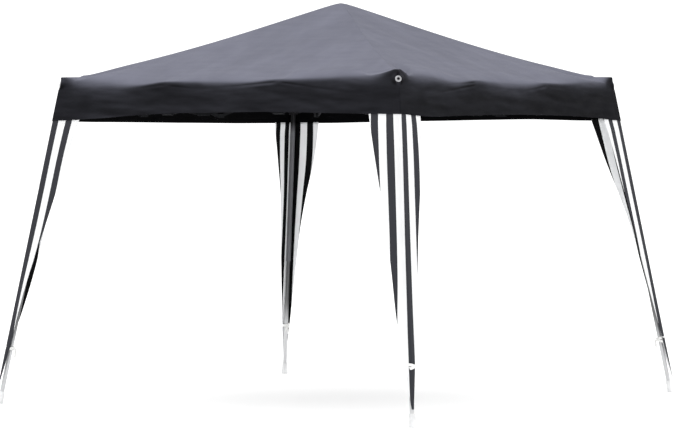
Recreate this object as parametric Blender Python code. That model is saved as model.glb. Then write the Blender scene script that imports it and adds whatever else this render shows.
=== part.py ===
# Pop-up party tent, 3 x 3 m over the feet and 2.4 x 2.4 m at the eaves: a pyramid cover with
# a valance on a folding steel frame, four slanted telescopic legs and a cloth curtain on each.
# Metres, +Z up, origin on the ground under the peak. The four corners and the four sides are
# the same pieces turned about Z in quarter turns, so one corner and one side are modelled.

import bpy
import bmesh
from math import atan, cos, hypot, pi, radians, sin, sqrt
from mathutils import Matrix, Vector

# The legs: a straight axis that leans in towards the peak
FOOT_REACH = 1.480        # leg axis on the ground, from the centre along X and along Y
LEAN = 0.149              # what the axis comes in along X, and along Y, per metre of height
UPPER_TUBE = 0.025
LOWER_TUBE = 0.020
UPPER_WALL = 0.0018
LOWER_WALL = 0.0012
UPPER_TUBE_FOOT = 0.787   # along the leg axis from the ground
UPPER_TUBE_TOP = 1.9767
LOWER_TUBE_FOOT = 0.012
LOWER_TUBE_TOP = 0.985
TUBE_CORNER = 0.0035

# The feet: plastic caps, flat on the ground
FOOT_SIZE = 0.032
FOOT_NECK = 0.027
FOOT_HEIGHT = 0.075
FOOT_CORNER = 0.004

# The cover: four roof panels and the valance below the fold
EAVES = 1.216             # outer face at the fold, at a corner
EAVES_HEIGHT = 1.9585
PEAK_HEIGHT = 2.417
PEAK_ROUND = 0.020        # radius by which the tip is rounded
PEAK_HOLE = 0.004
PAD = 1.137               # from here out the hip lies flat on the corner bracket
PAD_HEIGHT = 1.960
HIP_SAG = 0.026
HIP_SKEW = 1.15           # above 1, a hip sags most beyond its middle
PANEL_SAG = 0.020
PANEL_EDGE = 1.150        # where a panel's sag ends before the corner
PANEL_FULLNESS = 12       # how much of a panel's width hangs as its middle does
FOLD_SAG = 0.039          # how far the fold hangs below its ends in mid-side
HEM_HEIGHT = 1.703
HEM_RISE = 0.025          # how far the hem bows up in mid-side
CLOTH = 0.003
COVER_COLUMNS = 20        # the same in a panel and its valance, so that their edges match
ROOF_ROWS = 8
ROW_SPREAD = 1.5          # above 1, the rows are closer together towards the peak
VALANCE_ROWS = 2

# The leg curtains: two wings that meet in a crease outside the leg
CURTAIN_TOP = 1.735
CURTAIN_FOOT = 0.100
CURTAIN_TAPER = 0.125     # width of a wing per metre of height
CURTAIN_TIP = 0.010
CURTAIN_CLOTH = 0.0025
CURTAIN_FACE = 0.0244     # outer face from the leg axis
CURTAIN_COLUMNS = 2       # one to a wing
CURTAIN_ROWS = 8

# The scissor trusses: flat bars in two layers, riveted where they cross. Each side has three
# crossed pairs, and each diagonal from a corner to the centre has two
BAR_DEPTH = 0.020
BAR_THICK = 0.010
BAR_TAIL = 0.008          # past the pivot
LAYER = 0.0055            # middle of a bar from the plane of its truss
RIVET = 0.005
RIVET_LENGTH = 0.024
CORNER_PIVOT = 1.920      # heights of the pivots
SLIDER_PIVOT = 1.775
JOINT_UPPER = 1.901
JOINT_LOWER = 1.740
HUB_UPPER = 1.925
HUB_LOWER = 1.785
SIDE_JOINT = 0.400        # from mid-side to a joint of the side truss
INNER_JOINT = 0.850       # from the centre to the joint of the inner truss
JOINT_PIVOT = 0.022       # from the middle of a joint to its pivots
JOINT_BLOCK = (0.072, 0.022, 0.025)
PIVOT_IN = 0.045          # from the leg axis to a side truss's pivot
INNER_PIVOT = 0.058       # from the leg axis, or from the centre, to an inner truss's pivot

# Brackets, sliders and hubs
BRACKET = 0.046
BRACKET_FOOT = 1.925      # along the leg axis
BRACKET_TOP = 1.985
PLATE_INSIDE = 1.166
PLATE_OUTSIDE = 1.210
PLATE_BOTTOM = 1.937
PLATE_TOP = 1.955
SLIDER_HEIGHT = 0.046
YOKE_DEPTH = 0.025
YOKE_START = 0.017        # from the leg axis, or from the centre
YOKE_TIP = 0.015          # past the pivot
CHEEK = 0.004
BOLT_HEAD = 0.006
BOLT_HEIGHT = 0.004
HUB = 0.056
HUB_HEIGHT = 0.028
POLE_FOOT = 1.765
POLE_TOP = 2.394
CAP_RADIUS = 0.022
CAP_ROUND = 0.012         # radius of its rim
CAP_FOOT = 2.372
CAP_TOP = 2.4105

BLOCK_CORNER = 0.005
SMOOTH_UP_TO = 35         # degrees between faces that still look like one curve
OVERRUN = 0.020           # of a cutter past the face that it cuts
GAP = 0.0003              # between pieces that touch
UP = Vector((0, 0, 1))
CORNERS = ("front_right", "back_right", "back_left", "front_left")
SIDES = ("front", "right", "back", "left")

SLANT = atan(LEAN)                                  # lean of the side planes
RISE = hypot(1, LEAN)                               # length in a side plane per metre up
LEG_AXIS = Vector((-LEAN, LEAN, 1)).normalized()    # of the front right leg, upwards

# The front side plane holds the axes of the two front legs: x along the side, y inwards
SIDE_FRAME = Matrix.Translation((0, -FOOT_REACH, 0)) @ Matrix.Rotation(-SLANT, 4, "X")
LEG_FRAME = (Matrix.Translation((FOOT_REACH, -FOOT_REACH, 0))
             @ UP.rotation_difference(LEG_AXIS).to_matrix().to_4x4())
OTHER_SIDE = Matrix(((0, -1, 0, 0), (-1, 0, 0, 0), (0, 0, 1, 0), (0, 0, 0, 1)))

# The front right diagonal stands upright: x from the centre out to the leg
DIAGONAL_FRAME = Matrix.Rotation(-pi / 4, 4, "Z")


def clear_scene():
    for item in list(bpy.data.objects):
        bpy.data.objects.remove(item, do_unlink=True)


def material(name, colour, roughness, metallic=0.0):
    made = bpy.data.materials.new(name)
    made.use_nodes = True
    shader = made.node_tree.nodes["Principled BSDF"]
    shader.inputs["Base Color"].default_value = (*colour, 1)
    shader.inputs["Roughness"].default_value = roughness
    shader.inputs["Metallic"].default_value = metallic
    return made


def to_mesh(bm, name):
    """Turn a finished bmesh into a mesh, faces outwards and round parts smooth."""
    bmesh.ops.recalc_face_normals(bm, faces=bm.faces)
    if bm.calc_volume(signed=True) < 0:
        bmesh.ops.reverse_faces(bm, faces=bm.faces[:])
    mesh = bpy.data.meshes.new(name)
    bm.to_mesh(mesh)
    bm.free()
    mesh.shade_smooth()
    mesh.set_sharp_from_angle(angle=radians(SMOOTH_UP_TO))
    return mesh


def place(name, mesh, paint, parent):
    """Hang a mesh, modelled in the frame of its parent, as a sub-part of its own."""
    piece = bpy.data.objects.new(name, mesh)
    piece.data.materials.clear()
    piece.data.materials.append(paint)
    piece.parent = parent
    bpy.context.collection.objects.link(piece)
    return piece


def empty(name, frame, parent=None):
    holder = bpy.data.objects.new(name, None)
    holder.parent = parent
    holder.matrix_local = frame
    bpy.context.collection.objects.link(holder)
    return holder


def fuse(name, parts, cutter=None):
    """Join meshes that run into each other into one closed mesh, less what a cutter takes."""
    bodies = [bpy.data.objects.new(name, part) for part in parts]
    steps = [(body, "UNION") for body in bodies[1:]]
    if cutter:
        bodies.append(bpy.data.objects.new(name, cutter))
        steps.append((bodies[-1], "DIFFERENCE"))
    for body in bodies:
        bpy.context.collection.objects.link(body)
    for body, operation in steps:
        step = bodies[0].modifiers.new("join", "BOOLEAN")
        step.operation = operation
        step.solver = "EXACT"
        step.object = body
    whole = bodies[0].evaluated_get(bpy.context.evaluated_depsgraph_get())
    mesh = bpy.data.meshes.new_from_object(whole)
    mesh.name = name
    for body in bodies:
        bpy.data.objects.remove(body, do_unlink=True)
    return mesh


def box(low, high, frame=Matrix()):
    """A block between two corners, given in a frame."""
    low = Vector(low)
    size = Vector(high) - low
    bm = bmesh.new()
    bmesh.ops.create_cube(bm, size=1, matrix=frame @ Matrix.Translation(low + size / 2)
                          @ Matrix.Diagonal((*size, 1)))
    return to_mesh(bm, "box")


def pin(centre, axis, radius, length, frame=Matrix()):
    bm = bmesh.new()
    turn = UP.rotation_difference(Vector(axis)).to_matrix().to_4x4()
    bmesh.ops.create_cone(bm, cap_ends=True, segments=12, radius1=radius, radius2=radius,
                          depth=length, matrix=frame @ Matrix.Translation(centre) @ turn)
    return to_mesh(bm, "pin")


def square_tube(outer, wall, foot, top, corner, frame=Matrix()):
    """A square tube with rounded corners, upright in its frame."""
    bm = bmesh.new()
    bmesh.ops.create_grid(bm, x_segments=1, y_segments=1, size=outer / 2,
                          matrix=Matrix.Translation((0, 0, foot)))
    bmesh.ops.bevel(bm, geom=bm.verts[:], offset=corner, segments=2, profile=0.5,
                    affect="VERTICES")
    middle = bm.faces[:]
    bmesh.ops.inset_region(bm, faces=middle, thickness=wall, use_boundary=True,
                           use_even_offset=True)
    bmesh.ops.delete(bm, geom=middle, context="FACES_ONLY")
    raised = bmesh.ops.extrude_face_region(bm, geom=bm.faces[:])
    lifted = [item for item in raised["geom"] if isinstance(item, bmesh.types.BMVert)]
    bmesh.ops.translate(bm, verts=lifted, vec=(0, 0, top - foot))
    bmesh.ops.transform(bm, matrix=frame, verts=bm.verts[:])
    return to_mesh(bm, "tube")


def block(size, foot, top, corner, frame=Matrix()):
    """A square block with its upright edges rounded."""
    bm = bmesh.new()
    bmesh.ops.create_cube(bm, size=1, matrix=Matrix.Translation((0, 0, (foot + top) / 2))
                          @ Matrix.Diagonal((size, size, top - foot, 1)))
    upright = [edge for edge in bm.edges if abs(edge.verts[0].co.z - edge.verts[1].co.z) > GAP]
    bmesh.ops.bevel(bm, geom=upright, offset=corner, segments=2, profile=0.5, affect="EDGES")
    bmesh.ops.transform(bm, matrix=frame, verts=bm.verts[:])
    return to_mesh(bm, "block")


def bore(tube, foot, top, frame=Matrix()):
    """The cutter for a hole in which a square tube sits."""
    half = tube / 2 + GAP
    return box((-half, -half, foot), (half, half, top), frame)


def bar(start, end, side):
    """A flat bar between two pivots; side is the direction of its thickness."""
    along = (end - start).normalized()
    across = side.normalized()
    middle = (start + end) / 2
    frame = Matrix((along, across, along.cross(across))).transposed().to_4x4()
    frame.translation = middle
    reach = (end - start).length / 2 + BAR_TAIL
    half = Vector((reach, BAR_THICK / 2, BAR_DEPTH / 2))
    return box(-half, half, frame)


def leg_reach(height):
    """How far the leg axis is from the centre, along X and along Y, at a height."""
    return FOOT_REACH - LEAN * height


def leg_distance(height):
    """How far the leg axis is from the upright through the centre, at a height."""
    return leg_reach(height) * sqrt(2)


def sheet(name, columns, rows, face, back):
    """A cloth as a closed solid: a grid shaped by face(u, v), and its other side by back."""
    bm = bmesh.new()
    bmesh.ops.create_grid(bm, x_segments=columns, y_segments=rows, size=1)
    raised = bmesh.ops.extrude_face_region(bm, geom=bm.faces[:])
    lifted = [item for item in raised["geom"] if isinstance(item, bmesh.types.BMVert)]
    bmesh.ops.translate(bm, verts=lifted, vec=UP)
    for vert in bm.verts:
        u, v, layer = vert.co
        shape = face if layer > 0.5 else back
        vert.co = shape(u, (1 - v) / 2)
    return to_mesh(bm, name)


# The cover

def hip_height(reach):
    """Height of the cloth along a hip, at a distance from the centre along X."""
    if reach > PAD:
        return PAD_HEIGHT + (EAVES_HEIGHT - PAD_HEIGHT) * (reach - PAD) / (EAVES - PAD)
    part = max(0.0, sqrt(reach ** 2 + PEAK_ROUND ** 2) - PEAK_ROUND) / PAD
    return PEAK_HEIGHT - (PEAK_HEIGHT - PAD_HEIGHT) * part - HIP_SAG * sin(pi * part ** HIP_SKEW)


def middle_height(part):
    """Height of the cloth along the middle of a panel, part way from the peak to the fold."""
    part = (sqrt((part * EAVES) ** 2 + PEAK_ROUND ** 2) - PEAK_ROUND) / EAVES
    fall = PEAK_HEIGHT - EAVES_HEIGHT + FOLD_SAG
    return PEAK_HEIGHT - fall * part - PANEL_SAG * sin(pi * min(part, 1))


def panel_share(across):
    """0 on the hips and on the brackets' pads, 1 in the middle of a panel."""
    return (1 - min(abs(across) * EAVES / PANEL_EDGE, 1) ** PANEL_FULLNESS) ** 2


def cloth_height(across, part):
    share = panel_share(across)
    return hip_height(part * EAVES) * (1 - share) + middle_height(part) * share


def cloth_reach(height):
    """How far out the valance's face is at a height: it leans as the legs do."""
    return EAVES + LEAN * (EAVES_HEIGHT - height)


def spread(u):
    """Columns closer together towards the corners."""
    return 1.5 * u - 0.5 * u ** 3


def roof_face(u, v, drop=0.0):
    across = spread(u)
    part = PEAK_HOLE / EAVES + (1 - PEAK_HOLE / EAVES) * v ** ROW_SPREAD
    reach = part * cloth_reach(cloth_height(across, 1))
    return Vector((across * (reach - GAP), -reach, cloth_height(across, part) - drop))


def valance_face(u, v, inset=0.0):
    across = spread(u)
    top = cloth_height(across, 1) - CLOTH - GAP
    hem = HEM_HEIGHT + HEM_RISE * cos(pi / 2 * across) ** 2
    height = top + (hem - top) * v
    reach = cloth_reach(height) - inset
    return Vector((across * (reach - GAP), -reach, height))


def roof_panel():
    return sheet("roof_panel", COVER_COLUMNS, ROOF_ROWS, roof_face,
                 lambda u, v: roof_face(u, v, CLOTH))


def valance():
    return sheet("valance", COVER_COLUMNS, VALANCE_ROWS, valance_face,
                 lambda u, v: valance_face(u, v, CLOTH))


def curtain_face(u, v, inset=0.0):
    """The wings of the front right curtain: u runs from the front wing's edge to the other's."""
    height = CURTAIN_TOP + (CURTAIN_FOOT - CURTAIN_TOP) * v
    crease = leg_reach(height) + CURTAIN_FACE - inset
    width = CURTAIN_TIP + CURTAIN_TAPER * (height - CURTAIN_FOOT)
    edge = leg_reach(height) + CURTAIN_FACE - width
    x = crease if u >= 0 else crease + (edge - crease) * -u
    y = crease if u <= 0 else crease + (edge - crease) * u
    return Vector((x, -y, height))


def leg_curtain():
    return sheet("curtain", CURTAIN_COLUMNS, CURTAIN_ROWS, curtain_face,
                 lambda u, v: curtain_face(u, v, CURTAIN_CLOTH))


# The legs

def foot():
    """A tapered cap, flat on the ground, with a socket for the tube that leans as the leg."""
    bm = bmesh.new()
    bmesh.ops.create_cube(bm, size=1)
    neck = FOOT_NECK / 2
    base = FOOT_SIZE / 2
    for vert in bm.verts:
        if vert.co.z > 0:
            vert.co = LEG_FRAME @ Vector((vert.co.x * 2 * neck, vert.co.y * 2 * neck, FOOT_HEIGHT))
        else:
            vert.co = Vector((FOOT_REACH + vert.co.x * 2 * base,
                              -FOOT_REACH + vert.co.y * 2 * base, 0))
    upright = [edge for edge in bm.edges if abs(edge.verts[0].co.z - edge.verts[1].co.z) > FOOT_HEIGHT / 2]
    bmesh.ops.bevel(bm, geom=upright, offset=FOOT_CORNER, segments=2, profile=0.5, affect="EDGES")
    socket = bore(LOWER_TUBE, LOWER_TUBE_FOOT - GAP, FOOT_HEIGHT * 2, LEG_FRAME)
    return fuse("foot", [to_mesh(bm, "foot")], socket)


def upper_leg():
    return square_tube(UPPER_TUBE, UPPER_WALL, UPPER_TUBE_FOOT, UPPER_TUBE_TOP, TUBE_CORNER)


def lower_leg():
    return square_tube(LOWER_TUBE, LOWER_WALL, LOWER_TUBE_FOOT, LOWER_TUBE_TOP, TUBE_CORNER)


# The brackets

def yoke(axis, pivot, layer, height, frame):
    """Two cheeks and the bolt heads that hold a bar's end, out from the upright at axis.

    A head stands on its cheek and runs half its height into it.
    """
    parts = []
    towards = 1 if pivot > axis else -1
    low_x, high_x = sorted((axis + towards * YOKE_START, pivot + towards * YOKE_TIP))
    low = height - YOKE_DEPTH / 2
    for side in (-1, 1):
        near = layer + side * (BAR_THICK / 2 + GAP)
        far = near + side * CHEEK
        parts.append(box((low_x, min(near, far), low), (high_x, max(near, far), low + YOKE_DEPTH),
                         frame))
        head = (pivot, far + side * BOLT_HEIGHT / 4, height)
        parts.append(pin(head, (0, 1, 0), BOLT_HEAD, BOLT_HEIGHT * 1.5, frame))
    return parts


def leg_yokes(height, layer):
    """The three yokes on a leg: along both sides of the tent and towards its centre."""
    reach = leg_reach(height)
    side = yoke(reach, reach - PIVOT_IN, layer, height * RISE, SIDE_FRAME)
    distance = leg_distance(height)
    inner = yoke(distance, distance - INNER_PIVOT, layer, height, DIAGONAL_FRAME)
    return side + mirrored(side) + inner


def mirrored(parts):
    """The same parts on the other side of the corner, across the diagonal."""
    copies = []
    for part in parts:
        bm = bmesh.new()
        bm.from_mesh(part)
        bmesh.ops.transform(bm, matrix=OTHER_SIDE, verts=bm.verts[:])
        copies.append(to_mesh(bm, "copy"))
    return copies


def corner_bracket():
    """A cap on the leg's top, a plate that carries the cover and three yokes."""
    cap = block(BRACKET, BRACKET_FOOT, BRACKET_TOP, BLOCK_CORNER, LEG_FRAME)
    plate = box((PLATE_INSIDE, -PLATE_OUTSIDE, PLATE_BOTTOM),
                (PLATE_OUTSIDE, -PLATE_INSIDE, PLATE_TOP))
    socket = bore(UPPER_TUBE, BRACKET_FOOT - OVERRUN, UPPER_TUBE_TOP + GAP, LEG_FRAME)
    return fuse("bracket", [cap, plate] + leg_yokes(CORNER_PIVOT, -LAYER), socket)


def slider():
    """The sleeve on the upper leg that the lower bars push up."""
    foot = SLIDER_PIVOT / LEG_AXIS.z - SLIDER_HEIGHT / 2
    top = foot + SLIDER_HEIGHT
    sleeve = block(BRACKET, foot, top, BLOCK_CORNER, LEG_FRAME)
    passage = bore(UPPER_TUBE, foot - OVERRUN, top + OVERRUN, LEG_FRAME)
    return fuse("slider", [sleeve] + leg_yokes(SLIDER_PIVOT, LAYER), passage)


# The trusses

def crossed_pair(frame, rise, falling, rising):
    """Two bars, one in each layer, and the rivet where they cross. Pivots are (x, height)."""
    (x1, z1), (x2, z2) = falling
    (x3, z3), (x4, z4) = rising
    slope_one = (z2 - z1) / (x2 - x1)
    slope_two = (z4 - z3) / (x4 - x3)
    x = (z3 - z1 + slope_one * x1 - slope_two * x3) / (slope_one - slope_two)
    centre = (x, 0, (z1 + slope_one * (x - x1)) * rise)
    parts = [pin(centre, (0, 1, 0), RIVET, RIVET_LENGTH, frame)]
    sideways = frame.to_3x3() @ Vector((0, 1, 0))
    for layer, ends in ((-LAYER, falling), (LAYER, rising)):
        start, end = [frame @ Vector((x, layer, height * rise)) for x, height in ends]
        parts.append(bar(start, end, sideways))
    return parts


def truss_joint(frame, x, height):
    """The block that links two pairs of bars."""
    half = Vector(JOINT_BLOCK) / 2
    middle = Vector((x, 0, height))
    return box(middle - half, middle + half, frame)


def side_truss():
    """Three crossed pairs of bars in a side plane, with the joints that link them."""
    near = SIDE_JOINT - JOINT_PIVOT
    far = SIDE_JOINT + JOINT_PIVOT
    parts = []
    for side in (-1, 1):
        for height in (JOINT_UPPER, JOINT_LOWER):
            parts.append(truss_joint(SIDE_FRAME, side * SIDE_JOINT, height * RISE))
        falling = ((side * (leg_reach(CORNER_PIVOT) - PIVOT_IN), CORNER_PIVOT),
                   (side * far, JOINT_LOWER))
        rising = ((side * (leg_reach(SLIDER_PIVOT) - PIVOT_IN), SLIDER_PIVOT),
                  (side * far, JOINT_UPPER))
        parts += crossed_pair(SIDE_FRAME, RISE, falling, rising)
    parts += crossed_pair(SIDE_FRAME, RISE, ((-near, JOINT_UPPER), (near, JOINT_LOWER)),
                          ((-near, JOINT_LOWER), (near, JOINT_UPPER)))
    return fuse("side_truss", parts)


def inner_truss():
    """Two crossed pairs of bars from the front right leg to the hubs on the centre pole."""
    near = INNER_JOINT - JOINT_PIVOT
    far = INNER_JOINT + JOINT_PIVOT
    parts = [truss_joint(DIAGONAL_FRAME, INNER_JOINT, height)
             for height in (JOINT_UPPER, JOINT_LOWER)]
    parts += crossed_pair(
        DIAGONAL_FRAME, 1,
        ((leg_distance(CORNER_PIVOT) - INNER_PIVOT, CORNER_PIVOT), (far, JOINT_LOWER)),
        ((leg_distance(SLIDER_PIVOT) - INNER_PIVOT, SLIDER_PIVOT), (far, JOINT_UPPER)))
    parts += crossed_pair(DIAGONAL_FRAME, 1, ((near, JOINT_LOWER), (INNER_PIVOT, HUB_UPPER)),
                          ((near, JOINT_UPPER), (INNER_PIVOT, HUB_LOWER)))
    return fuse("inner_truss", parts)


# The centre

def hub(height, layer):
    """A sleeve on the centre pole with a yoke for each inner truss."""
    foot = height - HUB_HEIGHT / 2
    top = foot + HUB_HEIGHT
    parts = [block(HUB, foot, top, BLOCK_CORNER)]
    for turn in range(4):
        frame = Matrix.Rotation(turn * pi / 2, 4, "Z") @ DIAGONAL_FRAME
        parts += yoke(0, INNER_PIVOT, layer, height, frame)
    return fuse("hub", parts, bore(UPPER_TUBE, foot - OVERRUN, top + OVERRUN))


def pole_cap():
    """The rounded cap on the centre pole that pushes the peak up."""
    bm = bmesh.new()
    height = CAP_TOP - CAP_FOOT
    bmesh.ops.create_cone(bm, cap_ends=True, segments=24, radius1=CAP_RADIUS, radius2=CAP_RADIUS,
                          depth=height, matrix=Matrix.Translation((0, 0, CAP_FOOT + height / 2)))
    rim = [edge for edge in bm.edges if min(vert.co.z for vert in edge.verts) > CAP_TOP - GAP]
    bmesh.ops.bevel(bm, geom=rim, offset=CAP_ROUND, segments=3, profile=0.5, affect="EDGES")
    return fuse("pole_cap", [to_mesh(bm, "cap")],
                bore(UPPER_TUBE, CAP_FOOT - OVERRUN, POLE_TOP + GAP))


def build():
    clear_scene()
    roof_cloth = material("roof_cloth", (0.17, 0.175, 0.205), 0.55)
    valance_cloth = material("valance_cloth", (0.013, 0.014, 0.017), 0.6)
    striped_cloth = material("striped_cloth", (0.45, 0.45, 0.46), 0.7)
    leg_paint = material("leg_paint", (0.16, 0.165, 0.18), 0.45, 0.3)
    lower_paint = material("lower_leg_paint", (0.52, 0.53, 0.54), 0.4, 0.3)
    plastic = material("black_plastic", (0.02, 0.02, 0.022), 0.5)
    foot_plastic = material("foot_plastic", (0.62, 0.62, 0.63), 0.5)

    corner_pieces = (("leg_curtain", leg_curtain(), striped_cloth),
                     ("corner_bracket", corner_bracket(), plastic),
                     ("slider", slider(), plastic),
                     ("inner_truss", inner_truss(), leg_paint))
    side_pieces = (("roof_panel", roof_panel(), roof_cloth),
                   ("valance", valance(), valance_cloth),
                   ("truss", side_truss(), leg_paint))
    tubes = (("upper_leg", upper_leg(), leg_paint), ("lower_leg", lower_leg(), lower_paint))
    foot_mesh = foot()
    for turn, (corner, side) in enumerate(zip(CORNERS, SIDES)):
        quarter = Matrix.Rotation(turn * pi / 2, 4, "Z")
        corner_frame = empty(corner + "_corner", quarter)
        leg_frame = empty(corner + "_leg_axis", LEG_FRAME, corner_frame)
        for kind, mesh, paint in corner_pieces:
            place(f"{corner}_{kind}", mesh, paint, corner_frame)
        for kind, mesh, paint in tubes:
            place(f"{corner}_{kind}", mesh, paint, leg_frame)
        place(f"{corner}_foot", foot_mesh, foot_plastic, corner_frame)
        side_frame = empty(side + "_side", quarter)
        for kind, mesh, paint in side_pieces:
            place(f"{side}_{kind}", mesh, paint, side_frame)

    centre = empty("centre", Matrix())
    pole = square_tube(UPPER_TUBE, UPPER_WALL, POLE_FOOT, POLE_TOP, TUBE_CORNER)
    place("centre_pole", pole, leg_paint, centre)
    place("upper_hub", hub(HUB_UPPER, -LAYER), plastic, centre)
    place("lower_hub", hub(HUB_LOWER, LAYER), plastic, centre)
    place("pole_cap", pole_cap(), plastic, centre)


build()
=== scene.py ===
from math import atan, atan2, cos, exp, hypot, pi, radians, sin, sqrt

import bmesh
import bpy
from mathutils import Matrix, Vector, noise


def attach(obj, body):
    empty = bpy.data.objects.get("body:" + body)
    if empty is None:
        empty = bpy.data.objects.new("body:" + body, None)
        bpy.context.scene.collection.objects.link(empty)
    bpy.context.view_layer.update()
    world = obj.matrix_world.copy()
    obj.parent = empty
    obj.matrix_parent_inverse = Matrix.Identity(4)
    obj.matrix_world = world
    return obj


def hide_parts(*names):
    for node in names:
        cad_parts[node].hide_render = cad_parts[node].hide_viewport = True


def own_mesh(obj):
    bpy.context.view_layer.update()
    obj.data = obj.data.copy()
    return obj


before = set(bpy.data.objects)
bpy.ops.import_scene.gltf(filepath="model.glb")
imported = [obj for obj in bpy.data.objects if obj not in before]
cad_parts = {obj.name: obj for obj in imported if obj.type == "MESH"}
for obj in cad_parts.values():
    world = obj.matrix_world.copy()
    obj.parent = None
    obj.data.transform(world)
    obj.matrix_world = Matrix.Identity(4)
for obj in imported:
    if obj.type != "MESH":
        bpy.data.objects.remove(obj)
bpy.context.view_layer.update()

sides = ("front", "right", "back", "left")
corners = ("front_right", "back_right", "back_left", "front_left")  # each ends the side before it
tent = {
    "footReach": 1.480,  # leg axis on the ground, from the centre along X and along Y
    "lean": 0.149,  # what a leg comes in along X, and along Y, per metre of height
    "slideJoint": "_leg_slide",
    "topBody": "frame",
}


def smooth(value, low=0.0, high=1.0):
    part = min(max((value - low) / (high - low), 0.0), 1.0)
    return part * part * (3 - 2 * part)


def between(start, end, part):
    return start + (end - start) * part


# A point on the curve from start to end that a corner draws towards itself.
def rounded(start, corner, end, part):
    return start * (1 - part) ** 2 + corner * 2 * part * (1 - part) + end * part ** 2


def legReach(height):
    return tent["footReach"] - tent["lean"] * height


def quarterTurn(turns):
    return Matrix.Rotation(turns * pi / 2, 4, "Z")


# Shader maths reads as Python: a wire is one output of a node.
class Wire:
    def __init__(self, finish, socket):
        self.finish = finish
        self.socket = socket

    def maths(self, operation, first, second=0.0):
        return self.finish.node("Math", {"operation": operation}, {0: first, 1: second})

    def __add__(self, other):
        return self.maths("ADD", self, other)

    def __sub__(self, other):
        return self.maths("SUBTRACT", self, other)

    def __rsub__(self, other):
        return self.maths("SUBTRACT", other, self)

    def __mul__(self, other):
        return self.maths("MULTIPLY", self, other)

    def __mod__(self, other):
        return self.maths("FLOORED_MODULO", self, other)

    def __abs__(self):
        return self.maths("ABSOLUTE", self)

    def __lt__(self, other):
        return self.maths("LESS_THAN", self, other)

    __radd__ = __add__
    __rmul__ = __mul__


# A finish is one material, with the nodes that its look needs.
class Finish:
    mostly = (0.3, 0.7)  # the values that a mottle mostly has

    def __init__(self, name, **shaderValues):
        self.material = bpy.data.materials.new(name)
        self.material.use_nodes = True
        self.tree = self.material.node_tree
        self.shader = self.tree.nodes["Principled BSDF"]
        for socket, value in shaderValues.items():
            self.shader.inputs[socket.replace("_", " ")].default_value = value

    def put(self, socket, value):
        if isinstance(value, Wire):
            self.tree.links.new(value.socket, socket)
        elif isinstance(value, tuple) and len(value) == 3 and len(socket.default_value) == 4:
            socket.default_value = (*value, 1)
        else:
            socket.default_value = value

    def node(self, kind, settings, sockets, output=0):
        made = self.tree.nodes.new("ShaderNode" + kind)
        for name, value in settings.items():
            setattr(made, name, value)
        for name, value in sockets.items():
            self.put(made.inputs[name], value)
        return Wire(self, made.outputs[output])

    def attribute(self, name):
        return self.node("Attribute", {"attribute_name": name}, {}, output=2)

    def uv(self):
        return self.node("UVMap", {"uv_map": "clothMetres"}, {})

    def place(self):
        return self.node("TexCoord", {}, {}, output=3)

    def part(self, vector, number):
        return self.node("SeparateXYZ", {}, {0: vector}, output=number)

    def mottle(self, vector, scale, stretch=None, detail=4, roughness=0.55):
        if stretch:
            vector = self.node("Mapping", {}, {"Vector": vector, "Scale": stretch})
        sockets = {"Vector": vector, "Scale": scale, "Detail": detail, "Roughness": roughness}
        return self.node("TexNoise", {}, sockets)

    def ramp(self, value, low, high, start=0.0, end=1.0):
        settings = {"interpolation_type": "SMOOTHSTEP"}
        sockets = {"Value": value, "From Min": low, "From Max": high, "To Min": start, "To Max": end}
        return self.node("MapRange", settings, sockets)

    def vary(self, mottle, low, high):
        return self.ramp(mottle, *self.mostly, low, high)

    def mix(self, first, second, factor):
        return self.node("Mix", {"data_type": "RGBA"}, {0: factor, 6: first, 7: second}, output=2)

    def shaded(self, colour, *factors):
        for factor in factors:
            grey = self.node("CombineColor", {}, {0: factor, 1: factor, 2: factor})
            sockets = {0: 1.0, 6: colour, 7: grey}
            colour = self.node("Mix", {"data_type": "RGBA", "blend_type": "MULTIPLY"}, sockets, output=2)
        return colour

    def bump(self, height, distance, strength, normal=None):
        sockets = {"Height": height, "Distance": distance, "Strength": strength}
        if normal:
            sockets["Normal"] = normal
        return self.node("Bump", {}, sockets)

    def wear(self, **shaderWires):
        for socket, value in shaderWires.items():
            self.put(self.shader.inputs[socket.replace("_", " ")], value)
        return self.material


# Camera and studio
studio = {
    "cameraPlace": (10.885, -15.946, 1.546),
    "cameraTurn": 34.345,  # degrees round the tent, from the front towards the right
    "cameraPitch": -1.280,
    "cameraRoll": -0.115,
    "lens": 166.96,
    "floorSide": 160.0,
    "floorColour": (0.96, 0.96, 0.96),
    "floorGlow": 0.06,
    "floorGrain": (3.0, 0.02),  # its scale and its size
    "skyColour": (1.0, 1.0, 1.0),
    "skyStrength": 1.3,
    "sunStrength": 0.90,
    "sunWidth": 120.0,  # degrees of sky that the soft overhead light fills
}


def makeStudio():
    scene = bpy.context.scene
    data = bpy.data.cameras.new("photoCamera")
    data.lens = studio["lens"]
    data.clip_end = 300
    camera = bpy.data.objects.new("photoCamera", data)
    aim = (Matrix.Rotation(radians(studio["cameraTurn"]), 4, "Z")
           @ Matrix.Rotation(radians(90 + studio["cameraPitch"]), 4, "X")
           @ Matrix.Rotation(radians(studio["cameraRoll"]), 4, "Z"))
    camera.matrix_world = Matrix.Translation(studio["cameraPlace"]) @ aim
    scene.collection.objects.link(camera)
    scene.camera = camera

    world = bpy.data.worlds.new("studioSky")
    world.use_nodes = True
    sky = world.node_tree.nodes["Background"]
    sky.inputs["Color"].default_value = (*studio["skyColour"], 1)
    sky.inputs["Strength"].default_value = studio["skyStrength"]
    scene.world = world
    scene.view_settings.view_transform = "Standard"

    lamp = bpy.data.lights.new("softSun", "SUN")
    lamp.energy = studio["sunStrength"]
    lamp.angle = radians(studio["sunWidth"])
    softSun = bpy.data.objects.new("softSun", lamp)
    scene.collection.objects.link(softSun)

    bm = bmesh.new()
    bmesh.ops.create_grid(bm, x_segments=3, y_segments=3, size=studio["floorSide"] / 2)
    floor = finished("studioFloor", bm, [plainFloor()])


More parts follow.
